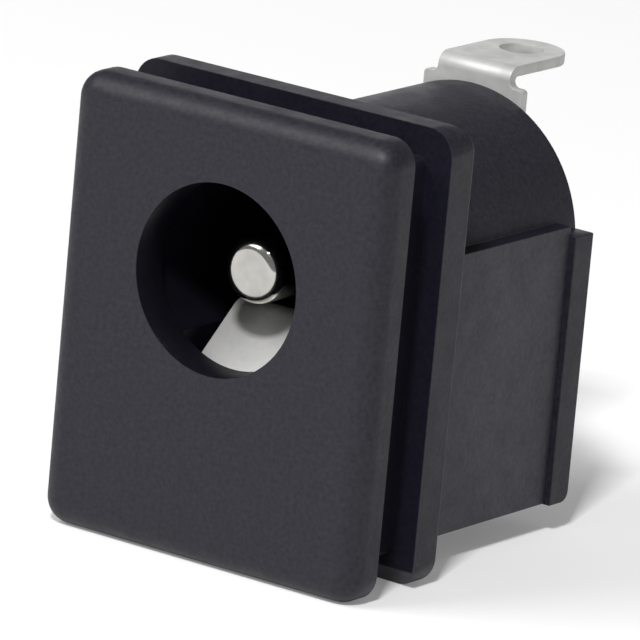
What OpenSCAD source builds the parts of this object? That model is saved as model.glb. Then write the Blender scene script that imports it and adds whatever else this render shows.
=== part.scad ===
// DC barrel jack for a panel edge: slotted housing, round bore with a centre pin, solder lugs.
// Millimetres. X to the right, Y from the front face to the back, Z up.
// The origin is on the bore's axis, on the front face of the bezel.

/* [Bezel] */
// Width of the front plate and of the rear flange
bezel_w = 11.95; // [11:0.05:16]
// Height of the plates above the bore's axis
bezel_up = 5.4; // [5:0.1:8]
// Height of the plates below the bore's axis
bezel_down = 9.0; // [8.6:0.05:12]
// Thickness of the front plate
bezel_t = 1.35; // [1.2:0.05:2.4]
// Corner radius of both plates, seen from the front
corner_r = 0.85; // [0.4:0.05:1.4]
// Rounding of the front plate's outer edge
edge_r = 0.75; // [0.2:0.05:1.1]

/* [Panel groove] */
// Clear width of the groove that takes the panel
groove_w = 1.9; // [1:0.1:3]
// Depth of the groove at the sides
groove_side = 0.9; // [0.5:0.1:1.4]
// Depth of the groove at the top and bottom
groove_top = 0.95; // [0.5:0.05:1.4]
// Thickness of the rear flange
flange_t = 1.3; // [1:0.05:2.5]
// Rounding of the rear flange's back edge
flange_edge = 0.2; // [0.1:0.05:0.3]
// Size of the lead-in on the flange's top edge, at the back
top_lead = 0.4; // [0.1:0.05:0.6]
// Height of the slanted face on the flange's bottom edge, at the front
low_lead = 0.6; // [0.1:0.05:0.8]

/* [Body] */
// Length from the front face to the back of the barrel
body_len = 12.9; // [12:0.1:18]
// Outer radius of the half-round barrel
barrel_r = 4.4; // [4.2:0.05:5.2]
// Outer width of the lower box
box_w = 9.7; // [9.2:0.1:10.6]
// Height of the box's side ledges above the axis
ledge_z = 0.95; // [0:0.05:1.5]
// Depth of the box below the axis
box_down = 8.0; // [7.6:0.1:10]
// Half width of the cavity
cavity_half = 3.6; // [3.2:0.1:3.9]
// Height of the cavity's floor below the axis
floor_down = 7.0; // [6.4:0.1:7.4]
// Thickness of the barrel's rear wall
rear_wall = 2.0; // [1.2:0.1:3]

/* [Rear cover] */
// Thickness of the rear cover
cover_t = 1.0; // [0.8:0.1:1.6]
// Width of the rear cover
cover_w = 10.1; // [9.8:0.1:11]
// Height of the cover's top ends above the axis
cover_top = 0.65; // [0:0.05:0.9]

/* [Bore and pin] */
// Diameter of the mouth
bore_d = 6.0; // [5.7:0.1:6.2]
// Diameter of the bore behind the mouth's ring
inner_d = 6.6; // [6.4:0.1:6.8]
// Half width of the slot under the bore
slot_half = 2.3; // [2.1:0.05:2.5]
// Diameter of the centre pin
pin_d = 1.9; // [1.6:0.05:2.5]
// Distance of the pin's tip behind the front face
pin_recess = 1.75; // [0.5:0.05:3]
// Rounding of the pin's tip
pin_round = 0.2; // [0.1:0.05:0.5]

/* [Metal strip] */
// Thickness of the pin's terminal plate
plate_t = 0.35; // [0.3:0.05:0.5]
// Width across the plate's shoulders
plate_w = 3.75; // [3.4:0.05:4.4]
// Rounding where the lug leaves the plate
root_r = 0.2; // [0.1:0.05:0.3]
// Width of the bent solder lug
lug_w = 2.75; // [2.2:0.05:3]
// Height of the shoulders above the axis
shoulder_z = 4.5; // [4.3:0.05:5]
// Height of the lug's upper face above the axis
lug_z = 5.15; // [4.9:0.05:7]
// Distance of the lug's eye behind the plate's front
lug_reach = 2.6; // [2.2:0.1:4]
// Diameter of the solder eyes
eye_d = 1.4; // [1:0.1:1.6]
// Thickness of the leaf and of the switch strip
leaf_t = 0.3; // [0.2:0.05:0.4]
// Width of the leaf
leaf_w = 3.7; // [3:0.1:3.8]

/* [Hidden] */
$fn = 64;
e = 0.01;
groove_y = bezel_t + groove_w;
flange_y = groove_y + flange_t;
neck_half = bezel_w / 2 - groove_side;
neck_top = bezel_up - groove_top;
neck_bot = -(bezel_down - groove_top);
box_end = body_len - cover_t;
wall_y = body_len - rear_wall;
bore_r = bore_d / 2;
inner_r = inner_d / 2;
pin_r = pin_d / 2;
tail_r = 0.75 * pin_r;
eye_r = eye_d / 2;
bend_r = 0.45;
// rear lugs of the two strips
lug_half = 1.1;
sleeve_x = -1.75;
switch_x = 1.75;
sleeve_z = -floor_down + 0.15;
switch_z = -floor_down + 1.15;
back_lug = 1.5;
strip_gap = 0.05;
shoulder_r = 0.15;
neck_r = 0.3;
// the join of one block into the next
lap = 0.2;
// step between the cavity's roof and the bore
roof_step = 0.2;
// rear cover: round bottom lip, and the plug that enters the box
lip_r = 0.35;
lip_drop = 0.05;
plug_len = 0.8;
plug_gap = 0.15;
plug_low = sleeve_z + leaf_t + 1.15;
// riveted head of the pin
head_r = 1.1 * pin_r;
head_h = 0.5;
dome_r = (head_r * head_r + head_h * head_h) / (2 * head_h);

// turns a shape drawn in X and Z so that it runs along Y, from y0 for len
module along_y(y0, len) translate([0, y0 + len, 0]) rotate([90, 0, 0]) linear_extrude(len) children();
// turns a shape drawn in Y and Z so that it runs along X, from x0 for len
module along_x(x0, len) translate([x0, 0, 0]) rotate([90, 0, 90]) linear_extrude(len) children();
module rod_y(r, y0, len) translate([0, y0, 0]) rotate([-90, 0, 0]) cylinder(r = r, h = len);
module block(x0, x1, y0, y1, z0, z1) translate([x0, y0, z0]) cube([x1 - x0, y1 - y0, z1 - z0]);
module round_rect(x0, x1, z0, z1, r) {
  translate([x0 + r, z0]) square([x1 - x0 - 2 * r, z1 - z0]);
  translate([x0, z0 + r]) square([x1 - x0, z1 - z0 - 2 * r]);
  for (x = [x0 + r, x1 - r], z = [z0 + r, z1 - r]) translate([x, z]) circle(r);
}
// quarter ring in the drawing plane, centre c, inner radius r, thickness t, quadrant signs sx, sy
module quarter(c, r, t, sx, sy) translate(c) intersection() {
  difference() { circle(r + t); circle(r); }
  translate([sx > 0 ? 0 : -(r + t), sy > 0 ? 0 : -(r + t)]) square(r + t);
}

// one corner of a plate: round upright of height t with its top end rounded over
module corner_post(t, edge) rotate_extrude($fn = 48) {
  core = max(corner_r - edge, 0.05);
  square([corner_r, t - edge]);
  square([core, t]);
  intersection() {
    translate([core, t - edge]) circle(edge, $fn = 48);
    square([corner_r, t]);
  }
}

// places a post at each of the four corners of the plates
module at_corners()
  for (x = [-1, 1], z = [bezel_up - corner_r, -bezel_down + corner_r])
    translate([x * (bezel_w / 2 - corner_r), 0, z]) children();

module bezel_plate() hull() at_corners()
  rotate([90, 0, 0]) translate([0, 0, -bezel_t]) corner_post(bezel_t, edge_r);

module flange_plate() difference() {
  hull() at_corners() rotate([-90, 0, 0]) translate([0, 0, groove_y]) corner_post(flange_t, flange_edge);
  // lead-in on the top edge at the back, slanted face on the bottom edge at the front
  along_x(-bezel_w, 2 * bezel_w) {
    polygon([[flange_y - top_lead, bezel_up + e], [flange_y + e, bezel_up + e], [flange_y + e, bezel_up - top_lead]]);
    polygon([[groove_y - e, -bezel_down - e], [groove_y + 0.8 * low_lead, -bezel_down - e], [groove_y - e, -bezel_down + low_lead]]);
  }
}

module housing() color([0.035, 0.035, 0.04]) difference() {
  union() {
    bezel_plate();
    along_y(bezel_t - lap, groove_w + 2 * lap) round_rect(-neck_half, neck_half, neck_bot, neck_top, neck_r);
    flange_plate();
    rod_y(barrel_r, groove_y + lap, body_len - groove_y - lap);
    block(-box_w / 2, box_w / 2, groove_y + lap, box_end, -box_down, ledge_z);
  }
  // mouth, and the wider bore behind it
  rod_y(bore_r, -1, bezel_t + 2);
  rod_y(inner_r, bezel_t, wall_y - bezel_t);
  // slot under the bore for the leaf
  block(-slot_half, slot_half, bezel_t, wall_y, -floor_down, -1);
  // cavity, open at the back under the rear wall
  block(-cavity_half, cavity_half, bezel_t, wall_y, -floor_down, -(inner_r + roof_step));
  difference() {
    block(-cavity_half, cavity_half, wall_y - e, box_end + e, -floor_down, -(inner_r + roof_step));
    rod_y(barrel_r, wall_y - 1, rear_wall + 2);
  }
  // hole for the pin
  rod_y(tail_r, wall_y - 1, rear_wall + 2);
}

module rear_cover() color([0.035, 0.035, 0.04]) difference() {
  union() {
    block(-cover_w / 2, cover_w / 2, box_end, body_len, -box_down - lip_drop + lip_r, cover_top);
    block(-cover_w / 2, cover_w / 2, box_end, body_len - lip_r, -box_down - lip_drop, -box_down + lip_r);
    translate([-cover_w / 2, body_len - lip_r, -box_down - lip_drop + lip_r]) rotate([0, 90, 0]) cylinder(r = lip_r, h = cover_w);
    // plug of the cover inside the box
    block(-cavity_half + strip_gap, cavity_half - strip_gap, box_end - plug_len, box_end + e, plug_low, -barrel_r - plug_gap);
  }
  rod_y(barrel_r, box_end - 2 * plug_len, cover_t + 4 * plug_len);
  // slots for the two strips
  for (slot = [[sleeve_x, sleeve_z], [switch_x, switch_z]])
    block(slot[0] - lug_half, slot[0] + lug_half, box_end - 2 * plug_len, body_len + cover_t, slot[1], slot[1] + leaf_t);
}

module centre_pin() color([0.80, 0.79, 0.76]) rotate([-90, 0, 0]) rotate_extrude() {
  // tip with a rounded edge, the shaft up to the rear wall, the tail through wall and plate, the riveted head
  translate([0, pin_recess]) square([pin_r - pin_round, 1]);
  translate([0, pin_recess + pin_round]) square([pin_r, wall_y - pin_recess - pin_round]);
  intersection() {
    translate([pin_r - pin_round, pin_recess + pin_round]) circle(pin_round);
    translate([0, pin_recess]) square([pin_r, pin_round]);
  }
  translate([0, wall_y - e]) square([tail_r, rear_wall + plate_t + 2 * e]);
  intersection() {
    translate([0, body_len + plate_t + head_h - dome_r]) circle(dome_r);
    translate([0, body_len + plate_t]) square([head_r, head_h]);
  }
}

module pin_terminal() color([0.72, 0.72, 0.70]) {
  difference() {
    union() {
      // plate behind the rear wall
      along_y(body_len, plate_t) {
        circle(plate_w / 2);
        translate([-plate_w / 2, 0]) square([plate_w, shoulder_z - shoulder_r]);
        translate([-plate_w / 2 + shoulder_r, 0]) square([plate_w - 2 * shoulder_r, shoulder_z]);
        for (s = [-1, 1]) translate([s * (plate_w / 2 - shoulder_r), shoulder_z - shoulder_r]) circle(shoulder_r, $fn = 32);
        translate([-lug_w / 2, 0]) square([lug_w, lug_z - bend_r]);
        // hollow corners where the lug leaves the plate
        difference() {
          translate([-lug_w / 2 - root_r, shoulder_z - e]) square([lug_w + 2 * root_r, root_r + e]);
          for (s = [-1, 1]) translate([s * (lug_w / 2 + root_r), shoulder_z + root_r]) circle(root_r, $fn = 48);
        }
      }
      // bend and lug
      along_x(-lug_w / 2, lug_w) {
        quarter([body_len + bend_r, lug_z - bend_r], bend_r - plate_t, plate_t, -1, 1);
        translate([body_len + bend_r, lug_z - plate_t]) square([lug_reach - bend_r, plate_t]);
      }
      translate([0, body_len + lug_reach, lug_z - plate_t]) cylinder(r = lug_w / 2, h = plate_t);
    }
    translate([0, body_len + lug_reach, lug_z - 1]) cylinder(r = eye_r, h = 2);
    rod_y(tail_r, body_len - 1, plate_t + 2);
  }
}

// side view of the leaf: floor run, front bend, riser, sloping leaf, crest and tail
leaf_rise = 41;
crest_r = 0.7;
crest_y = 4.15;
crest_z = -1.55;
tail_drop = 30;
front_y = bezel_t + strip_gap;
function turn(c, r, a) = [c[0] + r * cos(a), c[1] + r * sin(a)];
crest_c = [crest_y, crest_z - crest_r];
slope_top = turn(crest_c, crest_r, 90 + leaf_rise);
slope_dir = [-cos(leaf_rise), -sin(leaf_rise)];
knee_r = 0.6;
// the sloping face runs down until it is one knee radius from the riser
knee_k = (slope_top[0] - front_y - knee_r * (1 - sin(leaf_rise))) / cos(leaf_rise);
knee_p = [slope_top[0] + knee_k * slope_dir[0], slope_top[1] + knee_k * slope_dir[1]];
knee_c = [knee_p[0] + knee_r * sin(leaf_rise), knee_p[1] - knee_r * cos(leaf_rise)];
toe_r = 0.8;
toe_c = [front_y + toe_r, sleeve_z + toe_r];
arc_n = 10;
tail_len = 3.0;
foot_r = 0.4;
foot_len = 0.85;
foot_c = turn(crest_c, crest_r, 90 - tail_drop) + tail_len * [cos(tail_drop), -sin(tail_drop)] + foot_r * [sin(tail_drop), cos(tail_drop)];
foot_top = foot_c[1] - foot_r;
foot_end = foot_c[0] + foot_len;
outer_path = concat(
  [for (i = [0:arc_n]) turn(toe_c, toe_r, 270 - 90 * i / arc_n)],
  [for (i = [0:arc_n]) turn(knee_c, knee_r, 180 - (90 - leaf_rise) * i / arc_n)],
  [for (i = [0:arc_n]) turn(crest_c, crest_r, 90 + leaf_rise - (leaf_rise + tail_drop) * i / arc_n)],
  [for (i = [0:arc_n]) turn(foot_c, foot_r, 270 - tail_drop + tail_drop * i / arc_n)]);
inner_path = concat(
  [for (i = [0:arc_n]) turn(toe_c, toe_r - leaf_t, 270 - 90 * i / arc_n)],
  [for (i = [0:arc_n]) turn(knee_c, knee_r - leaf_t, 180 - (90 - leaf_rise) * i / arc_n)],
  [for (i = [0:arc_n]) turn(crest_c, crest_r - leaf_t, 90 + leaf_rise - (leaf_rise + tail_drop) * i / arc_n)],
  [for (i = [0:arc_n]) turn(foot_c, foot_r + leaf_t, 270 - tail_drop + tail_drop * i / arc_n)]);
function flip(v) = [for (i = [len(v) - 1:-1:0]) v[i]];
leaf_profile = concat(outer_path, [[foot_end, foot_top], [foot_end, foot_top - leaf_t]], flip(inner_path));

module flat_lug(x, z, y0) translate([0, 0, z]) linear_extrude(leaf_t) difference() {
  union() {
    translate([x - lug_half, y0]) square([2 * lug_half, body_len + back_lug - y0]);
    translate([x, body_len + back_lug]) circle(lug_half);
  }
  translate([x, body_len + back_lug]) circle(eye_r);
}

module sleeve_contact() color([0.72, 0.72, 0.70]) {
  along_x(-leaf_w / 2, leaf_w) polygon(leaf_profile);
  block(-leaf_w / 2, leaf_w / 2, front_y + toe_r - e, box_end - 3, sleeve_z, sleeve_z + leaf_t);
  flat_lug(sleeve_x, sleeve_z, box_end - 4);
}

// the switch strip comes up behind the leaf, and its finger lies just over the leaf's foot
finger_z = foot_top + 0.02;
finger_top = finger_z + leaf_t;
finger_x = 0.2;
finger_w = 1.5;
inside_r = 0.25;
outside_r = inside_r + leaf_t;
riser_y = foot_end + 0.4;

module switch_contact() color([0.72, 0.72, 0.70]) {
  flat_lug(switch_x, switch_z, riser_y + outside_r + 0.4);
  along_x(finger_x, finger_w) {
    translate([riser_y + outside_r - e, switch_z]) square([0.6, leaf_t]);
    quarter([riser_y + outside_r, switch_z + outside_r], inside_r, leaf_t, -1, -1);
    translate([riser_y, switch_z + outside_r]) square([leaf_t, finger_top - switch_z - 2 * outside_r]);
    quarter([riser_y - inside_r, finger_top - outside_r], inside_r, leaf_t, 1, 1);
    translate([foot_c[0] + 0.15, finger_z]) square([riser_y - inside_r - foot_c[0] - 0.15, leaf_t]);
  }
}

housing();
rear_cover();
centre_pin();
pin_terminal();
sleeve_contact();
switch_contact();
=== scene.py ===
"""Looks of a DC barrel jack for a panel edge: mouldings, plated contacts and a plain studio stage.

Metres. X to the right, Y from the front face to the back, Z up. The origin is on the bore's axis,
on the front face of the bezel.
"""

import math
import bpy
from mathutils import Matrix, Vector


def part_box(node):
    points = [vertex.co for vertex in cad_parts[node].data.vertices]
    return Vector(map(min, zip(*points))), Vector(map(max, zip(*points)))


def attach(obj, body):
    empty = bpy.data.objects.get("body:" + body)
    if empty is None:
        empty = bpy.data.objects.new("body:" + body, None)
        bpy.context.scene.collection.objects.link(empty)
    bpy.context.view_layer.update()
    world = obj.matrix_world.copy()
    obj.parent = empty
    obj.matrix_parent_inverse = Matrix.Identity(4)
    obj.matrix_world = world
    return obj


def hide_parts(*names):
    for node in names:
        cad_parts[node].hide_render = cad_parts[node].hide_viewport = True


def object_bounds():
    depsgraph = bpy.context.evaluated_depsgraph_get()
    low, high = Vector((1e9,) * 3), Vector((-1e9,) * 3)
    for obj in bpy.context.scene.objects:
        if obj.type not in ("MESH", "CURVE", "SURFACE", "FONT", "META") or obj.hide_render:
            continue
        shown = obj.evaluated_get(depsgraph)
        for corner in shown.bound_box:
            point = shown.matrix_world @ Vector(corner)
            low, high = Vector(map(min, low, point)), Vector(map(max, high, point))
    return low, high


bl_info = {
    "name": "Barrel Jack Looks",
    "version": (1, 0, 0),
    "blender": (4, 5, 0),
    "location": "View3D > Sidebar > Barrel Jack",
    "description": "Builds the mouldings, the plated contacts and the stage of a DC barrel jack",
    "category": "Object",
}

import bmesh
import bpy
from bpy.props import FloatProperty, FloatVectorProperty, PointerProperty
from mathutils import Matrix, Vector

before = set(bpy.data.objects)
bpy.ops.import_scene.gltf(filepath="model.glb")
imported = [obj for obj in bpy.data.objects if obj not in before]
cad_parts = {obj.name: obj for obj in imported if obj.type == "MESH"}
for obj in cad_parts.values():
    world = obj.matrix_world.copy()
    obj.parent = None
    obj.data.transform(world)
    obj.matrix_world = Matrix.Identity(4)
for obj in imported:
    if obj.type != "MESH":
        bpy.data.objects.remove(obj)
CAD_LOW, CAD_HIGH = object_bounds()

MM = 0.001
Y, Z = 1, 2
HOUSING_LOW, HOUSING_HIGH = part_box("housing")
COVER_LOW, COVER_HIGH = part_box("rear_cover")
PIN_LOW, PIN_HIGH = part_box("centre_pin")
LUG_LOW, LUG_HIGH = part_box("pin_terminal")
LEAF_LOW, LEAF_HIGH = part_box("sleeve_contact")
SWITCH_LOW, SWITCH_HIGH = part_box("switch_contact")

# Places nearer than NEAR are taken as one, and corners nearer than WELD are merged.
NEAR = 0.002 * MM
WELD = NEAR / 10
# Two directions are taken as one when their cosine is above this.
ALIGNED = 0.999
# How far solids reach into each other before they are joined.
OVERLAP = 0.2 * MM
# Share of a half width that a rounding takes, so that its two arcs don't quite meet.
NEARLY_ALL = 0.999
# Angles between neighbouring faces: up to FLAT they are one face, from HARD on the edge is rounded,
# and from SHARP on it is shaded as an edge.
FLAT, HARD, SHARP = (math.radians(degrees) for degrees in (0.5, 35, 40))
# Steps of a bend in a sheet.
BEND_STEPS = 10

# The plastic's lustre changes over clouds of some grains, and its grain is a share of its size high.
CLOUD_GRAINS = 5
CLOUD_CHANGE = 0.05
GRAIN_HEIGHT = 0.125
# Nearly all values of a noise lie between these.
NOISE_LOW, NOISE_HIGH = 0.3, 0.7
# Uneven patches and fine drawing lines of the plating.
PATCH_SIZE, PATCH_SHADE, PATCH_START, PATCH_END = 0.7 * MM, 0.86, 0.35, 0.6
LINE_SIZE, LINE_DEPTH, LINE_STRENGTH = 0.06 * MM, 0.004 * MM, 0.15

# From the lights to the jack, and the camera's sensor in millimetres with its clipping in metres.
LIGHT_DISTANCE = 600 * MM
SENSOR_WIDTH = 36.0
CLIP_START, CLIP_END = 0.01, 10.0


def length(name, description, default, high=0.02):
    """A length that the sidebar shows in scene units."""
    return FloatProperty(
        name=name, description=description, default=default, min=0.0, max=high,
        subtype="DISTANCE", unit="LENGTH", precision=6,
    )


def colour(name, description, default):
    """A colour that the sidebar shows as a swatch."""
    return FloatVectorProperty(
        name=name, description=description, default=default, min=0.0, max=1.0, size=3, subtype="COLOR",
    )


def angle(name, description, degrees):
    """An angle that the sidebar shows in degrees."""
    return FloatProperty(
        name=name, description=description, default=math.radians(degrees), subtype="ANGLE", unit="ROTATION",
    )


def share(name, description, default, high=1.0):
    """A plain number from zero up."""
    return FloatProperty(name=name, description=description, default=default, min=0.0, max=high)


def direction(name, description, default):
    """A direction that the sidebar shows as a ball."""
    return FloatVectorProperty(
        name=name, description=description, default=default, size=3, subtype="DIRECTION",
    )


class JackHousingSizes(bpy.types.PropertyGroup):
    """Sizes of the slotted housing and its rear cover."""

    bezel_depth: length("Bezel depth", "Thickness of the front plate", 1.35 * MM)
    corner_radius: length("Corner radius", "Corners of both plates, seen from the front", 0.85 * MM)
    edge_radius: length("Edge radius", "Rounding of the front plate's outer edge", 0.75 * MM)
    groove_width: length("Groove width", "Clear width for the panel", 1.9 * MM)
    groove_side: length("Groove side", "Depth of the groove at the sides", 0.9 * MM)
    groove_top: length("Groove top", "Depth of the groove at the top and bottom", 0.95 * MM)
    neck_radius: length("Neck rounding", "Edges of the neck between the two plates", 0.3 * MM)
    flange_depth: length("Flange depth", "Thickness of the rear flange", 1.3 * MM)
    flange_edge: length("Flange edge", "Rounding of the flange's back edge", 0.2 * MM)
    top_lead: length("Top lead-in", "Slope on the flange's top edge at the back", 0.4 * MM)
    low_lead: length("Low lead-in", "Slanted face on the flange's bottom edge at the front", 0.6 * MM)
    low_lead_run: share("Low lead-in run", "How far the slanted face runs back for its height", 0.8)
    barrel_radius: length("Barrel radius", "Outside of the half-round barrel", 4.4 * MM)
    box_half: length("Box half width", "Half the width of the lower box", 4.85 * MM)
    box_depth: length("Box depth", "Underside of the box below the axis", 8.0 * MM)
    ledge_height: length("Ledge height", "Side ledges of the box above the axis", 0.95 * MM)
    mouth_radius: length("Mouth radius", "Opening in the front plate", 3.0 * MM)
    bore_radius: length("Bore radius", "Bore behind the front plate", 3.3 * MM)
    slot_half: length("Slot half width", "Half the slot that the leaf rises in", 2.3 * MM)
    slot_top: length("Slot top", "Top of the leaf's slot below the axis", 1.0 * MM)
    roof_step: length("Roof step", "Roof of the cavity below the bore", 0.2 * MM)
    floor_depth: length("Floor depth", "Floor of the cavity below the axis", 7.0 * MM)
    cavity_half: length("Cavity half width", "Half the width of the cavity", 3.6 * MM)
    # Painted shade of the bore starts this far behind the front face.
    bore_shade_start: length("Bore shade start", "Where the painted shade of the bore begins behind the front", 0.1 * MM)
    rear_wall: length("Rear wall", "Thickness of the barrel's rear wall", 2.0 * MM)
    cover_thick: length("Cover thickness", "Plate of the rear cover", 1.0 * MM)
    cover_lip: length("Cover lip", "Rounding of the cover's bottom edge", 0.35 * MM)
    plug_half: length("Plug half width", "Half the width of the cover's plug inside the box", 3.55 * MM)
    plug_top: length("Plug top", "Top of the cover's plug below the axis", 4.55 * MM)
    plug_bottom: length("Plug bottom", "Underside of the cover's plug below the axis", 5.4 * MM)
    soft_edge: length("Soft edge", "Small rounding that a mould leaves on edges", 0.05 * MM)

    @property
    def groove_end(self):
        """Back of the groove, where the flange begins."""
        return self.bezel_depth + self.groove_width

    @property
    def flange_end(self):
        """Back of the flange."""
        return self.groove_end + self.flange_depth

    @property
    def box_end(self):
        """Back of the lower box, where the cover lies on."""
        return COVER_HIGH.y - self.cover_thick

    @property
    def wall_start(self):
        """Front of the barrel's rear wall, at the bottom of the bore."""
        return HOUSING_HIGH.y - self.rear_wall


class JackContactSizes(bpy.types.PropertyGroup):
    """Sizes of the pin, its terminal and the springs."""

    tip_round: length("Tip rounding", "Rounding of the pin's tip", 0.4 * MM)
    tail_radius: length("Tail radius", "Pin where it passes the rear wall", 0.7125 * MM)
    head_radius: length("Head radius", "Riveted head behind the terminal", 1.045 * MM)
    plate_thick: length("Plate thickness", "Sheet of the pin's terminal", 0.35 * MM)
    shoulder_height: length("Shoulder height", "Top of the terminal's shoulders", 4.5 * MM)
    lug_half: length("Lug half width", "Half the width of the bent lug", 1.375 * MM)
    lug_bend: length("Lug bend", "Outside radius of the lug's bend", 0.45 * MM)
    eye_radius: length("Eye radius", "Solder eyes", 0.7 * MM)
    shoulder_radius: length("Shoulder radius", "Corner of the terminal's shoulders", 0.15 * MM)
    root_radius: length("Root radius", "Hollow corner at the root of the lug", 0.2 * MM)
    leaf_thick: length("Leaf thickness", "Sheet of the leaf", 0.3 * MM)
    leaf_half: length("Leaf half width", "Half the width of the leaf", 1.85 * MM)
    leaf_slope: angle("Leaf slope", "Slope of the leaf's front face", 41)
    tail_slope: angle("Tail slope", "Slope of the leaf behind its crest", 30)
    crest_place: length("Crest place", "Leaf's crest behind the front face", 4.15 * MM)
    crest_radius: length("Crest radius", "Outside of the crest's bend", 0.7 * MM)
    knee_radius: length("Knee radius", "Outside of the bend below the slope", 0.6 * MM)
    toe_radius: length("Toe radius", "Outside of the bend at the cavity's floor", 0.8 * MM)
    tail_length: length("Tail length", "Straight part behind the crest", 3.0 * MM)
    foot_radius: length("Foot radius", "Inside of the bend at the leaf's foot", 0.4 * MM)
    foot_length: length("Foot length", "Flat foot at the leaf's end", 0.85 * MM)
    floor_run: length("Floor run", "End of the leaf's flat part behind the front face", 9.0 * MM)
    rear_lug_half: length("Rear lug half width", "Half the width of the flat rear lugs", 1.1 * MM)
    turned_edge: length("Turned edge", "Rounding that turning leaves on the pin's edges", 0.02 * MM)
    sheared_edge: length("Sheared edge", "Rounding that blanking leaves on sheet edges", 0.035 * MM)


class JackFinishes(bpy.types.PropertyGroup):
    """Colours and lustre of the plastic and of the plating."""

    plastic_dark: colour("Plastic, dark", "Hollows of the moulding's grain", (0.0045, 0.0042, 0.0090))
    plastic_light: colour("Plastic, light", "Crests of the moulding's grain", (0.0135, 0.0130, 0.0205))
    matt_roughness: share("Matt roughness", "Spark-eroded faces of the moulding", 0.52)
    smooth_roughness: share("Smooth roughness", "Half-round barrel of the moulding", 0.22)
    core_roughness: share("Core roughness", "Bore, cavity and groove of the moulding", 0.42)
    grain_size: length("Grain size", "Size of one grain of the mould's texture", 0.15 * MM)
    nickel: colour("Nickel", "Polished plating of the pin", (0.50, 0.49, 0.465))
    nickel_roughness: share("Nickel roughness", "Roughness of the pin's plating", 0.16)
    lug_tin: colour("Lug tin", "Satin plating of the lugs", (0.44, 0.438, 0.430))
    lug_roughness: share("Lug roughness", "Roughness of the lug's plating", 0.45)
    leaf_tin: colour("Leaf tin", "Satin plating of the springs", (0.53, 0.527, 0.515))
    leaf_roughness: share("Leaf roughness", "Roughness of the springs' plating", 0.42)
    lug_lustre: share("Lug lustre", "Metallic share of the lug's plating", 0.3)
    leaf_lustre: share("Leaf lustre", "Metallic share of the springs' plating", 0.45)


class JackStageSizes(bpy.types.PropertyGroup):
    """Camera, light and floor."""

    azimuth: angle("Azimuth", "Camera's turn to the right of the front", 34.62)
    elevation: angle("Elevation", "Camera's height above the horizon", 14.66)
    roll: angle("Roll", "Camera's tilt about its own axis", 5.23)
    distance: length("Distance", "From the camera to what it looks at", 256.0 * MM, high=2.0)
    focal_length: share("Focal length", "Camera's focal length in millimetres", 477.1, high=2000.0)
    aim: FloatVectorProperty(
        name="Aim", description="Point that the camera looks at",
        default=(2.81 * MM, 1.66 * MM, -0.86 * MM), size=3, subtype="TRANSLATION", unit="LENGTH",
    )
    backdrop: colour("Backdrop", "Plain light of the studio", (0.27, 0.27, 0.27))
    floor: colour("Floor", "Plain pale floor", (0.66, 0.66, 0.66))
    floor_size: length("Floor size", "Side of the floor", 3.0, high=10.0)
    floor_roughness: share("Floor roughness", "Roughness of the floor", 0.9)
    floor_glow: share("Floor glow", "Light that comes through the floor from below", 0.17)
    softbox_side: direction("Softbox side", "Where the large softbox stands", (-0.48, -0.56, 0.67))
    softbox_power: share("Softbox power", "Large softbox up on the left, in watts", 2.3, high=50.0)
    softbox_size: length("Softbox size", "Side of the large softbox", 350 * MM, high=2.0)
    rim_side: direction("Rim side", "Where the softbox behind stands", (-0.62, 0.78, 0.10))
    rim_power: share("Rim power", "Softbox low behind on the left, in watts", 0.3, high=50.0)
    rim_size: length("Rim size", "Side of the softbox behind", 300 * MM, high=2.0)
    key_side: direction("Key side", "Where the small key light stands", (0.25, -0.60, 0.76))
    key_power: share("Key power", "Small key light up on the right, in watts", 3.5, high=50.0)
    key_size: length("Key size", "Side of the key light", 80 * MM, high=2.0)


# ---------------------------------------------------------------- modelling steps


def clear_selection():
    """Leaves edit mode and deselects every object."""
    if bpy.context.mode != "OBJECT":
        bpy.ops.object.mode_set(mode="OBJECT")
    bpy.ops.object.select_all(action="DESELECT")


def make_active(piece):
    """Selects one object alone."""
    clear_selection()
    piece.select_set(True)
    bpy.context.view_layer.objects.active = piece


def settle(piece, name):
    """Names a new primitive and moves its place into its mesh."""
    piece.name = piece.data.name = name
    make_active(piece)
    bpy.ops.object.transform_apply(location=True, rotation=True, scale=True)
    return piece


def add_block(name, low, high):
    """A block between two corners."""
    low, high = Vector(low), Vector(high)
    clear_selection()
    bpy.ops.mesh.primitive_cube_add(size=1, location=(low + high) / 2, scale=high - low)
    return settle(bpy.context.object, name)


def add_rod(name, radius, start, end, sides=96):
    """A round rod between the middles of its two ends."""
    start, end = Vector(start), Vector(end)
    clear_selection()
    bpy.ops.mesh.primitive_cylinder_add(
        vertices=sides, radius=radius, depth=(end - start).length, location=(start + end) / 2,
        rotation=(end - start).to_track_quat("Z", "Y").to_euler(),
    )
    return settle(bpy.context.object, name)


def pick(piece, kind, test):
    """Enters edit mode with only the edges or faces selected that pass the test."""
    make_active(piece)
    bpy.ops.object.mode_set(mode="EDIT")
    bpy.ops.mesh.select_mode(type=kind)
    bpy.ops.mesh.select_all(action="DESELECT")
    mesh = bmesh.from_edit_mesh(piece.data)
    for part in [p for p in (mesh.edges if kind == "EDGE" else mesh.faces) if test(p)]:
        part.select_set(True)
    bmesh.update_edit_mesh(piece.data)


def runs_along(axis):
    """Test for edges that run along an axis."""
    def test(edge):
        start, end = (v.co for v in edge.verts)
        return abs((end - start).normalized()[axis]) > ALIGNED
    return test


def lies_at(axis, place):
    """Test for edges that lie in a plane across an axis."""
    return lambda edge: all(abs(v.co[axis] - place) < NEAR for v in edge.verts)


def starts_beside(place):
    """Test for edges that start that far to the left or right of the middle."""
    return lambda edge: abs(abs(edge.verts[0].co.x) - place) < NEAR


def faces_along(heading):
    """Test for faces that look in a direction."""
    heading = Vector(heading)
    return lambda face: face.normal.dot(heading) > ALIGNED


def in_middle(face):
    """Test for faces whose centre is neither left nor right of the middle."""
    return abs(face.calc_center_median().x) < NEAR


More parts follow.
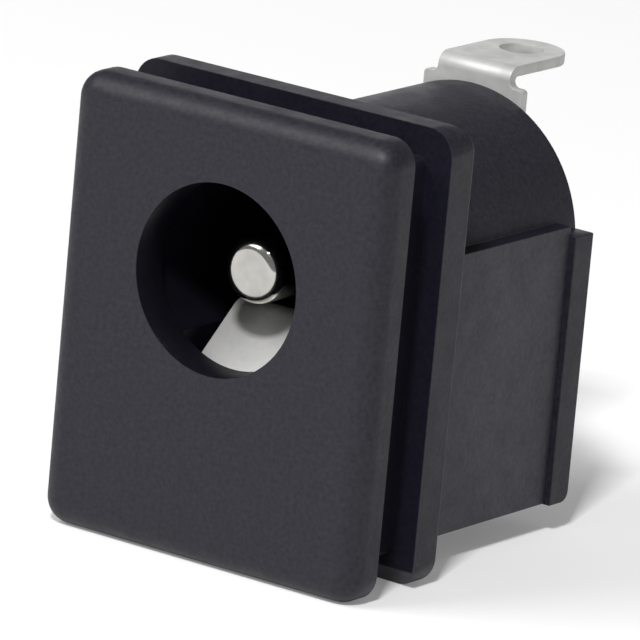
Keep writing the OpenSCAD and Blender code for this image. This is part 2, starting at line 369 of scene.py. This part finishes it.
def all_of(*tests):
    """Test for what passes every one of the tests."""
    return lambda part: all(test(part) for test in tests)


def round_edges(piece, test, radius, segments):
    """Rounds the edges that pass the test."""
    pick(piece, "EDGE", test)
    bpy.ops.mesh.bevel(offset=radius, segments=segments, affect="EDGES")
    bpy.ops.object.mode_set(mode="OBJECT")


def cut(piece, place, outward, clear=False):
    """Cuts a piece along a plane, and with clear takes off what lies beyond and closes the cut."""
    make_active(piece)
    bpy.ops.object.mode_set(mode="EDIT")
    bpy.ops.mesh.select_all(action="SELECT")
    bpy.ops.mesh.bisect(
        plane_co=place, plane_no=Vector(outward).normalized(),
        use_fill=clear, clear_outer=clear, threshold=WELD,
    )
    bpy.ops.object.mode_set(mode="OBJECT")


def combine(piece, other, operation):
    """Joins another solid to the piece, or cuts it out of it, and uses the other up."""
    make_active(piece)
    bpy.ops.object.modifier_add(type="BOOLEAN")
    boolean = piece.modifiers[-1]
    boolean.operation, boolean.solver, boolean.object = operation, "EXACT", other
    bpy.ops.object.modifier_apply(modifier=boolean.name)
    bpy.data.objects.remove(other)


def drill(piece, radius, start, end):
    """Cuts a round hole between two points."""
    combine(piece, add_rod("drill", radius, start, end, sides=64), "DIFFERENCE")


def draw_out(distance, shrink, place):
    """Extrudes the picked end face along the bore's axis and scales it about that axis."""
    bpy.ops.mesh.extrude_region_move(TRANSFORM_OT_translate={"value": (0, distance, 0)})
    bpy.ops.transform.resize(value=(shrink, 1, shrink), center_override=(0, place + distance, 0))


def draw_dome(radius, rise, place, steps=6, pole=0.02):
    """Draws the picked round face out into a shallow dome, which ends in a tiny flat at its pole."""
    ball = (radius ** 2 + rise ** 2) / (2 * rise)
    opening = math.asin(radius / ball)
    for step in range(steps):
        before, after = (opening * (1 - s / steps) for s in (step, step + 1))
        height = ball * (math.cos(after) - math.cos(before))
        draw_out(height, max(math.sin(after), pole) / math.sin(before), place)
        place += height


def round_end(piece, place, half):
    """Makes the end of a flat lug a half circle."""
    round_edges(piece, all_of(lies_at(Y, place), runs_along(Z)), half * NEARLY_ALL, segments=16)


def clean_up(piece):
    """Merges doubles and makes the faces point outwards."""
    make_active(piece)
    bpy.ops.object.mode_set(mode="EDIT")
    bpy.ops.mesh.select_all(action="SELECT")
    bpy.ops.mesh.remove_doubles(threshold=WELD)
    bpy.ops.mesh.dissolve_limited(angle_limit=FLAT)
    bpy.ops.mesh.normals_make_consistent(inside=False)
    bpy.ops.object.mode_set(mode="OBJECT")


def soften(piece, width, segments=2):
    """Gives every hard edge a small rounding, and smooth shading between."""
    clean_up(piece)
    bpy.ops.object.modifier_add(type="BEVEL")
    bevel = piece.modifiers[-1]
    bevel.width, bevel.segments = width, segments
    bevel.limit_method, bevel.angle_limit = "ANGLE", HARD
    bevel.use_clamp_overlap = True
    bpy.ops.object.modifier_apply(modifier=bevel.name)
    bpy.ops.object.shade_smooth_by_angle(angle=SHARP)
    bpy.ops.object.modifier_add(type="WEIGHTED_NORMAL")
    weighted = piece.modifiers[-1]
    weighted.keep_sharp = True
    bpy.ops.object.modifier_apply(modifier=weighted.name)


class Strip:
    """A flat metal strip that is drawn out of a picked face and folded in the YZ plane."""

    def __init__(self, end, heading):
        self.end = Vector(end)
        self.heading = math.radians(heading)

    def ahead(self):
        """The way that the strip runs."""
        return Vector((0, math.cos(self.heading), math.sin(self.heading)))

    def left(self):
        """The way that a positive fold turns to."""
        return Vector((0, -math.sin(self.heading), math.cos(self.heading)))

    def run(self, distance):
        """Straight on."""
        step = self.ahead() * distance
        bpy.ops.mesh.extrude_region_move(TRANSFORM_OT_translate={"value": step})
        self.end += step

    def fold(self, angle, radius):
        """Round a bend, with the radius of the strip's middle. A positive angle turns from +Y to +Z."""
        side = math.copysign(1, angle)
        centre = self.end + side * radius * self.left()
        bpy.ops.mesh.spin(
            steps=BEND_STEPS, angle=math.radians(abs(angle)), center=centre, axis=(-side, 0, 0),
        )
        self.heading += math.radians(angle)
        self.end = centre - side * radius * self.left()


# ---------------------------------------------------------------- materials


def new_material(name):
    """An empty node material with its shader and its output joined."""
    material = bpy.data.materials.new(name)
    material.use_nodes = True
    return material, material.node_tree.nodes, material.node_tree.links


def add_noise(nodes, links, size, detail=3.0, stretch=(1, 1, 1)):
    """Noise of that grain size in metres on Object coordinates."""
    place = nodes.new("ShaderNodeTexCoord")
    mapping = nodes.new("ShaderNodeMapping")
    mapping.inputs["Scale"].default_value = stretch
    noise = nodes.new("ShaderNodeTexNoise")
    noise.inputs["Scale"].default_value = 1 / size
    noise.inputs["Detail"].default_value = detail
    links.new(place.outputs["Object"], mapping.inputs["Vector"])
    links.new(mapping.outputs["Vector"], noise.inputs["Vector"])
    return noise


def add_ramp(nodes, links, source, stops):
    """A colour ramp over a noise, with two stops of (place, colour)."""
    ramp = nodes.new("ShaderNodeValToRGB")
    links.new(source.outputs["Fac"], ramp.inputs["Fac"])
    for element, (place, shade) in zip(ramp.color_ramp.elements, stops):
        element.position = place
        element.color = (*shade, 1.0)
    return ramp


def add_range(nodes, links, source, low, high):
    """Spreads a noise between two values."""
    spread = nodes.new("ShaderNodeMapRange")
    spread.inputs["From Min"].default_value = NOISE_LOW
    spread.inputs["From Max"].default_value = NOISE_HIGH
    spread.inputs["To Min"].default_value = low
    spread.inputs["To Max"].default_value = high
    links.new(source.outputs["Fac"], spread.inputs["Value"])
    return spread


def add_bump(nodes, links, source, strength, depth):
    """A bump map from a noise."""
    bump = nodes.new("ShaderNodeBump")
    bump.inputs["Strength"].default_value = strength
    bump.inputs["Distance"].default_value = depth
    links.new(source.outputs["Fac"], bump.inputs["Height"])
    return bump


def moulded_plastic(name, finishes, depth, roughness, relief, gloss, spread=0.21):
    """Black plastic with the mottled grain of a spark-eroded mould. A wide spread makes it fainter, and depth
    scales its colour; in the groove and bore copies it paints shade.
    """
    material, nodes, links = new_material(name)
    shader = nodes["Principled BSDF"]
    shader.inputs["IOR"].default_value = gloss
    grain = add_noise(nodes, links, finishes.grain_size, detail=2.0)
    dark, light = (tuple(depth * c for c in end) for end in (finishes.plastic_dark, finishes.plastic_light))
    tint = add_ramp(nodes, links, grain, [(0.5 - spread, dark), (0.5 + spread, light)])
    links.new(tint.outputs["Color"], shader.inputs["Base Color"])
    clouds = add_noise(nodes, links, finishes.grain_size * CLOUD_GRAINS)
    rough = add_range(nodes, links, clouds, roughness - CLOUD_CHANGE, roughness + CLOUD_CHANGE)
    links.new(rough.outputs["Result"], shader.inputs["Roughness"])
    bump = add_bump(nodes, links, grain, relief, finishes.grain_size * GRAIN_HEIGHT)
    links.new(bump.outputs["Normal"], shader.inputs["Normal"])
    return material


def matt_plastic(name, finishes):
    """Outer faces of the mouldings."""
    return moulded_plastic(
        name, finishes, depth=1.0, roughness=finishes.matt_roughness, relief=0.4, gloss=1.40,
    )


def box_plastic(name, finishes):
    """Sides of the box, a little lighter and glossier than the other outer faces."""
    return moulded_plastic(
        name, finishes, depth=1.5, roughness=finishes.matt_roughness, relief=0.3, gloss=1.48,
    )


def smooth_plastic(name, finishes):
    """The barrel, which a polished part of the mould leaves smooth."""
    return moulded_plastic(
        name, finishes, depth=0.3, roughness=finishes.smooth_roughness, relief=0.05, gloss=1.43,
    )


def groove_shade_plastic(name, finishes):
    """Groove and ledges: a darker, duller copy of the plastic, which paints shade into the groove and onto
    the ledges.
    """
    return moulded_plastic(
        name, finishes, depth=0.9, roughness=finishes.core_roughness, relief=0.05, gloss=1.22, spread=0.5,
    )


def bore_shade_plastic(name, finishes):
    """Mouth, bore and cavity: a still darker, duller copy of the plastic, which paints shade inside them."""
    return moulded_plastic(
        name, finishes, depth=0.55, roughness=finishes.core_roughness, relief=0.05, gloss=1.22, spread=0.5,
    )


def plated_metal(name, tint, lustre, roughness, brush, scuff):
    """Plating with faint drawing lines and soft uneven patches. Dull tin has less than a full lustre."""
    material, nodes, links = new_material(name)
    shader = nodes["Principled BSDF"]
    shader.inputs["Metallic"].default_value = lustre
    light, dark = tuple(tint), tuple(PATCH_SHADE * c for c in tint)
    patches = add_noise(nodes, links, PATCH_SIZE, detail=4.0)
    shade = add_ramp(nodes, links, patches, [(PATCH_START, dark), (PATCH_END, light)])
    links.new(shade.outputs["Color"], shader.inputs["Base Color"])
    rough = add_range(nodes, links, patches, roughness + scuff, roughness - scuff)
    links.new(rough.outputs["Result"], shader.inputs["Roughness"])
    lines = add_noise(nodes, links, LINE_SIZE, stretch=brush)
    bump = add_bump(nodes, links, lines, LINE_STRENGTH, LINE_DEPTH)
    links.new(bump.outputs["Normal"], shader.inputs["Normal"])
    return material


def pin_nickel(name, finishes):
    """The turned pin, drawn along its length."""
    return plated_metal(
        name, finishes.nickel, lustre=1.0, roughness=finishes.nickel_roughness, brush=(1, 0.1, 1), scuff=0.03,
    )


def lug_tin(name, finishes):
    """Sheet of the pin's terminal, rolled from side to side."""
    return plated_metal(
        name, finishes.lug_tin, lustre=finishes.lug_lustre, roughness=finishes.lug_roughness,
        brush=(0.15, 1, 1), scuff=0.05,
    )


def spring_tin(name, finishes):
    """Strip of the two springs, rolled from front to back."""
    return plated_metal(
        name, finishes.leaf_tin, lustre=finishes.leaf_lustre, roughness=finishes.leaf_roughness,
        brush=(1, 0.15, 1), scuff=0.05,
    )


def wear(piece, material):
    """Gives a finished piece its material and its body."""
    piece.data.materials.clear()
    piece.data.materials.append(material)
    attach(piece, "root")


def coat(piece, material, test):
    """Gives the faces that pass the test a material of their own."""
    piece.data.materials.append(material)
    pick(piece, "FACE", test)
    piece.active_material_index = len(piece.data.materials) - 1
    bpy.ops.object.material_slot_assign()
    bpy.ops.object.mode_set(mode="OBJECT")


# ---------------------------------------------------------------- stage


def add_softbox(name, side, size, power):
    """A square light that looks at the jack from that side."""
    side = Vector(side).normalized()
    clear_selection()
    bpy.ops.object.light_add(
        type="AREA", location=side * LIGHT_DISTANCE, rotation=side.to_track_quat("Z", "Y").to_euler(),
    )
    light = bpy.context.object
    light.name = light.data.name = name
    light.data.size, light.data.energy = size, power


def add_floor(stage):
    """A plain pale floor that the jack stands on."""
    clear_selection()
    bpy.ops.mesh.primitive_plane_add(size=stage.floor_size, location=(0, 0, CAD_LOW.z))
    floor = settle(bpy.context.object, "floor")
    material, nodes, links = new_material("floor_paint")
    shader = nodes["Principled BSDF"]
    shader.inputs["Base Color"].default_value = (*stage.floor, 1)
    shader.inputs["Roughness"].default_value = stage.floor_roughness
    shader.inputs["Emission Color"].default_value = (1, 1, 1, 1)
    shader.inputs["Emission Strength"].default_value = stage.floor_glow
    floor.data.materials.append(material)


def add_camera(scene, stage):
    """The camera, turned and lifted about its aim and rolled about its own axis."""
    lens = bpy.data.cameras.new("camera")
    lens.lens, lens.sensor_width = stage.focal_length, SENSOR_WIDTH
    lens.clip_start, lens.clip_end = CLIP_START, CLIP_END
    camera = bpy.data.objects.new("camera", lens)
    scene.collection.objects.link(camera)
    turn, lift = stage.azimuth, stage.elevation
    back = Vector((math.sin(turn) * math.cos(lift), -math.cos(turn) * math.cos(lift), math.sin(lift)))
    right = Vector((math.cos(turn), math.sin(turn), 0))
    axes = Matrix((right, back.cross(right), back)).transposed()
    axes = Matrix.Rotation(stage.roll, 3, back) @ axes
    camera.matrix_world = Matrix.Translation(Vector(stage.aim) + back * stage.distance) @ axes.to_4x4()
    scene.camera = camera


# ---------------------------------------------------------------- housing


def add_body(sizes):
    """The solid moulding: the front plate with the neck, flange, barrel and box joined to it."""
    half, top, bottom = HOUSING_HIGH.x, HOUSING_HIGH.z, HOUSING_LOW.z
    groove_end, flange_end = sizes.groove_end, sizes.flange_end
    bezel = add_block("housing_moulding", (-half, 0, bottom), (half, sizes.bezel_depth, top))
    round_edges(bezel, runs_along(Y), sizes.corner_radius, segments=8)
    round_edges(bezel, lies_at(Y, 0), sizes.edge_radius, segments=8)
    neck = add_block(
        "neck",
        (-half + sizes.groove_side, sizes.bezel_depth - OVERLAP, bottom + sizes.groove_top),
        (half - sizes.groove_side, groove_end + OVERLAP, top - sizes.groove_top),
    )
    round_edges(neck, runs_along(Y), sizes.neck_radius, segments=4)
    flange = add_block("flange", (-half, groove_end, bottom), (half, flange_end, top))
    round_edges(flange, runs_along(Y), sizes.corner_radius, segments=8)
    round_edges(flange, lies_at(Y, flange_end), sizes.flange_edge, segments=4)
    cut(flange, (0, flange_end, top - sizes.top_lead), (0, 1, 1), clear=True)
    cut(flange, (0, groove_end, bottom + sizes.low_lead), (0, -1, -sizes.low_lead_run), clear=True)
    barrel = add_rod("barrel", sizes.barrel_radius, (0, groove_end + OVERLAP, 0), (0, HOUSING_HIGH.y, 0))
    box = add_block(
        "box", (-sizes.box_half, groove_end + OVERLAP, -sizes.box_depth),
        (sizes.box_half, sizes.box_end, sizes.ledge_height),
    )
    for part in (neck, flange, barrel, box):
        combine(bezel, part, "UNION")
    return bezel


def add_hollows(sizes, tail_radius):
    """The solids that are cut out of the moulding, from the mouth to the opening under the cover."""
    wall, front, low = sizes.wall_start, sizes.bezel_depth, -sizes.floor_depth
    return (
        add_rod("mouth", sizes.mouth_radius, (0, -MM, 0), (0, front + MM, 0)),
        add_rod("bore", sizes.bore_radius, (0, front, 0), (0, wall, 0)),
        add_rod("pin_hole", tail_radius, (0, wall - MM, 0), (0, HOUSING_HIGH.y + MM, 0)),
        add_block(
            "leaf_slot", (-sizes.slot_half, front, low), (sizes.slot_half, wall, -sizes.slot_top),
        ),
        add_block(
            "cavity", (-sizes.cavity_half, front, low),
            (sizes.cavity_half, wall, -sizes.bore_radius - sizes.roof_step),
        ),
        add_block(
            "rear_opening", (-sizes.cavity_half, wall - NEAR, low),
            (sizes.cavity_half, sizes.box_end + MM, -sizes.barrel_radius - OVERLAP),
        ),
    )


def finish_and_shade_faces(sizes):
    """Tests for the faces of the barrel and the box's sides, which get plastics of their own, and of the
    groove, the ledges and the bore, which get painted shade.
    """
    def on_barrel(face):
        place = face.calc_center_median()
        return place.y > sizes.flange_end and abs(math.hypot(place.x, place.z) - sizes.barrel_radius) < NEAR

    def on_box(face):
        place = face.calc_center_median()
        return place.y > sizes.flange_end and abs(abs(place.x) - sizes.box_half) < NEAR

    # Faces that get painted shade: the groove and the ledges.
    def groove_shade_faces(face):
        place = face.calc_center_median()
        in_groove = sizes.bezel_depth - NEAR < place.y < sizes.groove_end + NEAR
        on_ledge = place.y > sizes.flange_end and abs(place.z - sizes.ledge_height) < NEAR
        return in_groove or on_ledge

    def inside(place):
        in_bore = math.hypot(place.x, place.z) < sizes.bore_radius + OVERLAP
        in_cavity = abs(place.x) < sizes.cavity_half + NEAR and 0 > place.z > -sizes.floor_depth - NEAR
        return in_bore or in_cavity

    # Faces that get painted shade: the mouth, the bore and the cavity.
    def bore_shade_faces(face):
        return face.calc_center_median().y > sizes.bore_shade_start and all(inside(v.co) for v in face.verts)

    return on_barrel, on_box, groove_shade_faces, bore_shade_faces


class JACK_OT_housing(bpy.types.Operator):
    """Build the slotted housing"""

    bl_idname = "jack.housing"
    bl_label = "Housing"

    def execute(self, context):
        sizes, finishes = context.scene.jack_housing, context.scene.jack_finishes
        bezel = add_body(sizes)
        for part in add_hollows(sizes, context.scene.jack_contacts.tail_radius):
            combine(bezel, part, "DIFFERENCE")
        soften(bezel, sizes.soft_edge)
        wear(bezel, matt_plastic("housing_matt", finishes))
        on_barrel, on_box, groove_shade_faces, bore_shade_faces = finish_and_shade_faces(sizes)
        coat(bezel, smooth_plastic("housing_smooth", finishes), on_barrel)
        coat(bezel, box_plastic("housing_box", finishes), on_box)
        # Painted shade: a darker, duller plastic in the groove and on the ledges.
        coat(bezel, groove_shade_plastic("housing_groove_shade", finishes), groove_shade_faces)
        # Painted shade: a still darker, duller plastic in the mouth, the bore and the cavity.
        coat(bezel, bore_shade_plastic("housing_bore_shade", finishes), bore_shade_faces)
        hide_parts("housing")
        return {"FINISHED"}


# ---------------------------------------------------------------- cover and contacts


class JACK_OT_rear_cover(bpy.types.Operator):
    """Build the rear cover"""

    bl_idname = "jack.rear_cover"
    bl_label = "Rear cover"

    def execute(self, context):
        sizes, contacts = context.scene.jack_housing, context.scene.jack_contacts
        front, back = sizes.box_end, COVER_HIGH.y
        cover = add_block(
            "rear_cover_plate", (COVER_LOW.x, front, COVER_LOW.z), (COVER_HIGH.x, back, COVER_HIGH.z)
        )
        round_edges(cover, all_of(lies_at(Y, back), lies_at(Z, COVER_LOW.z)), sizes.cover_lip, segments=6)
        plug = add_block(
            "plug", (-sizes.plug_half, COVER_LOW.y, -sizes.plug_bottom),
            (sizes.plug_half, front + OVERLAP, -sizes.plug_top),
        )
        combine(cover, plug, "UNION")
        barrel = add_rod("barrel", sizes.barrel_radius, (0, front - MM, 0), (0, back + MM, 0))
        combine(cover, barrel, "DIFFERENCE")
        width, thick = 2 * contacts.rear_lug_half, contacts.leaf_thick
        for left, low in ((LEAF_LOW.x, LEAF_LOW.z), (SWITCH_HIGH.x - width, SWITCH_LOW.z)):
            slot = add_block("slot", (left, front - MM, low), (left + width, back + MM, low + thick))
            combine(cover, slot, "DIFFERENCE")
        soften(cover, sizes.soft_edge)
        wear(cover, matt_plastic("cover_matt", context.scene.jack_finishes))
        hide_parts("rear_cover")
        return {"FINISHED"}


class JACK_OT_centre_pin(bpy.types.Operator):
    """Turn the centre pin"""

    bl_idname = "jack.centre_pin"
    bl_label = "Centre pin"

    def execute(self, context):
        sizes, finishes = context.scene.jack_contacts, context.scene.jack_finishes
        radius, tip = PIN_HIGH.x, PIN_LOW.y
        wall, head = context.scene.jack_housing.wall_start, LUG_LOW.y + sizes.plate_thick
        pin = add_rod("centre_pin_turned", radius, (0, tip, 0), (0, wall, 0), sides=72)
        round_edges(pin, lies_at(Y, tip), sizes.tip_round, segments=8)
        pick(pin, "FACE", faces_along((0, 1, 0)))
        bpy.ops.mesh.inset(thickness=radius - sizes.tail_radius)
        draw_out(head - wall, 1.0, wall)
        draw_out(0, sizes.head_radius / sizes.tail_radius, head)
        draw_dome(sizes.head_radius, PIN_HIGH.y - head, head)
        soften(pin, sizes.turned_edge)
        wear(pin, pin_nickel("pin_nickel", finishes))
        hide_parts("centre_pin")
        return {"FINISHED"}


class JACK_OT_pin_terminal(bpy.types.Operator):
    """Stamp and bend the pin's terminal"""

    bl_idname = "jack.pin_terminal"
    bl_label = "Pin terminal"

    def execute(self, context):
        sizes, finishes = context.scene.jack_contacts, context.scene.jack_finishes
        half, front, back = LUG_HIGH.x, LUG_LOW.y, LUG_LOW.y + sizes.plate_thick
        shoulder = sizes.shoulder_height
        plate = add_block("pin_terminal_sheet", (-half, front, -half), (half, back, shoulder))
        round_edges(plate, all_of(runs_along(Y), lies_at(Z, -half)), half * NEARLY_ALL, segments=24)
        # The top is cut into shoulder, lug and shoulder, and only the lug is drawn on.
        for side in (-1, 1):
            cut(plate, (side * sizes.lug_half, 0, 0), (1, 0, 0))
        pick(plate, "FACE", all_of(faces_along((0, 0, 1)), in_middle))
        lug = Strip((0, (front + back) / 2, shoulder), 90)
        lug.run(LUG_HIGH.z - sizes.lug_bend - shoulder)
        lug.fold(-90, sizes.lug_bend - sizes.plate_thick / 2)
        lug.run(LUG_HIGH.y - lug.end.y)
        bpy.ops.object.mode_set(mode="OBJECT")
        round_end(plate, LUG_HIGH.y, sizes.lug_half)
        for place, radius in ((sizes.lug_half, sizes.root_radius), (half, sizes.shoulder_radius)):
            corners = all_of(runs_along(Y), lies_at(Z, shoulder), starts_beside(place))
            round_edges(plate, corners, radius, segments=5)
        eye = LUG_HIGH.y - sizes.lug_half
        drill(plate, sizes.eye_radius, (0, eye, LUG_HIGH.z - MM), (0, eye, LUG_HIGH.z + MM))
        drill(plate, sizes.tail_radius, (0, front - MM, 0), (0, back + MM, 0))
        soften(plate, sizes.sheared_edge)
        wear(plate, lug_tin("lug_tin", finishes))
        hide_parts("pin_terminal")
        return {"FINISHED"}


def bend_leaf(piece, sizes):
    """Draws the leaf out of the front of its flat part: toe, slope, crest, tail and foot."""
    thick, toe, slope = sizes.leaf_thick, sizes.toe_radius, sizes.leaf_slope
    low, front = LEAF_LOW.z, LEAF_LOW.y
    # The slope touches the bends at the knee and the crest, and its length follows from their places.
    crest_mid, knee_mid = sizes.crest_radius - thick / 2, sizes.knee_radius - thick / 2
    climb = (
        sizes.crest_place - front - sizes.knee_radius - (crest_mid - knee_mid) * math.sin(slope)
    ) / math.cos(slope)
    knee_height = (
        LEAF_HIGH.z - sizes.crest_radius + (crest_mid - knee_mid) * math.cos(slope)
        - climb * math.sin(slope)
    )
    pick(piece, "FACE", faces_along((0, -1, 0)))
    leaf = Strip((0, front + toe, low + thick / 2), 180)
    leaf.fold(-90, toe - thick / 2)
    leaf.run(knee_height - low - toe)
    leaf.fold(math.degrees(slope) - 90, knee_mid)
    leaf.run(climb)
    leaf.fold(-math.degrees(slope + sizes.tail_slope), crest_mid)
    leaf.run(sizes.tail_length)
    leaf.fold(math.degrees(sizes.tail_slope), sizes.foot_radius + thick / 2)
    leaf.run(sizes.foot_length)
    bpy.ops.object.mode_set(mode="OBJECT")


class JACK_OT_sleeve_contact(bpy.types.Operator):
    """Bend the leaf that touches the plug's sleeve"""

    bl_idname = "jack.sleeve_contact"
    bl_label = "Sleeve contact"

    def execute(self, context):
        sizes, finishes = context.scene.jack_contacts, context.scene.jack_finishes
        thick, half, lug_half = sizes.leaf_thick, sizes.leaf_half, sizes.rear_lug_half
        low, front = LEAF_LOW.z, LEAF_LOW.y
        piece = add_block(
            "leaf_spring", (-half, front + sizes.toe_radius, low), (half, sizes.floor_run, low + thick)
        )
        bend_leaf(piece, sizes)
        lug_x, eye = LEAF_LOW.x + lug_half, LEAF_HIGH.y - lug_half
        lug = add_block(
            "rear_lug", (LEAF_LOW.x, sizes.floor_run - MM, low), (lug_x + lug_half, LEAF_HIGH.y, low + thick),
        )
        round_end(lug, LEAF_HIGH.y, lug_half)
        combine(piece, lug, "UNION")
        drill(piece, sizes.eye_radius, (lug_x, eye, low - MM), (lug_x, eye, low + MM))
        soften(piece, sizes.sheared_edge)
        wear(piece, spring_tin("spring_tin", finishes))
        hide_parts("sleeve_contact")
        return {"FINISHED"}


class JACK_OT_switch_contact(bpy.types.Operator):
    """Plate the switch contact"""

    bl_idname = "jack.switch_contact"
    bl_label = "Switch contact"

    def execute(self, context):
        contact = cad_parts["switch_contact"]
        contact.data.materials.clear()
        contact.data.materials.append(spring_tin("switch_tin", context.scene.jack_finishes))
        return {"FINISHED"}


class JACK_OT_stage(bpy.types.Operator):
    """Set up the floor, the light and the camera"""

    bl_idname = "jack.stage"
    bl_label = "Stage"

    def execute(self, context):
        scene = context.scene
        stage = scene.jack_stage
        scene.view_settings.view_transform = "Standard"
        add_floor(stage)
        add_softbox("softbox", stage.softbox_side, stage.softbox_size, stage.softbox_power)
        add_softbox("rim", stage.rim_side, stage.rim_size, stage.rim_power)
        add_softbox("key", stage.key_side, stage.key_size, stage.key_power)
        world = bpy.data.worlds.new("studio")
        world.use_nodes = True
        world.node_tree.nodes["Background"].inputs["Color"].default_value = (*stage.backdrop, 1)
        scene.world = world
        add_camera(scene, stage)
        return {"FINISHED"}


# ---------------------------------------------------------------- panel and run


class JACK_PT_panel(bpy.types.Panel):
    """Sidebar panel of the jack"""

    bl_idname = "JACK_PT_panel"
    bl_label = "Barrel Jack"
    bl_space_type = "VIEW_3D"
    bl_region_type = "UI"
    bl_category = "Barrel Jack"

    def draw(self, context):
        for operator in OPERATORS:
            self.layout.operator(operator.bl_idname)
        for name in GROUPS:
            box = self.layout.box()
            group = getattr(context.scene, name)
            for key in group.__annotations__:
                box.prop(group, key)


GROUPS = {
    "jack_housing": JackHousingSizes,
    "jack_contacts": JackContactSizes,
    "jack_finishes": JackFinishes,
    "jack_stage": JackStageSizes,
}
OPERATORS = (
    JACK_OT_housing,
    JACK_OT_rear_cover,
    JACK_OT_centre_pin,
    JACK_OT_pin_terminal,
    JACK_OT_sleeve_contact,
    JACK_OT_switch_contact,
    JACK_OT_stage,
)


def register():
    """Registers the sizes, the operators and the panel."""
    for name, group in GROUPS.items():
        bpy.utils.register_class(group)
        setattr(bpy.types.Scene, name, PointerProperty(type=group))
    for operator in OPERATORS:
        bpy.utils.register_class(operator)
    bpy.utils.register_class(JACK_PT_panel)


def unregister():
    """Takes back what register made."""
    bpy.utils.unregister_class(JACK_PT_panel)
    for operator in reversed(OPERATORS):
        bpy.utils.unregister_class(operator)
    for name, group in GROUPS.items():
        delattr(bpy.types.Scene, name)
        bpy.utils.unregister_class(group)


def main():
    """Builds the jack and its stage."""
    register()
    bpy.ops.jack.housing()
    bpy.ops.jack.rear_cover()
    bpy.ops.jack.centre_pin()
    bpy.ops.jack.pin_terminal()
    bpy.ops.jack.sleeve_contact()
    bpy.ops.jack.switch_contact()
    bpy.ops.jack.stage()


if __name__ == "__main__":
    main()
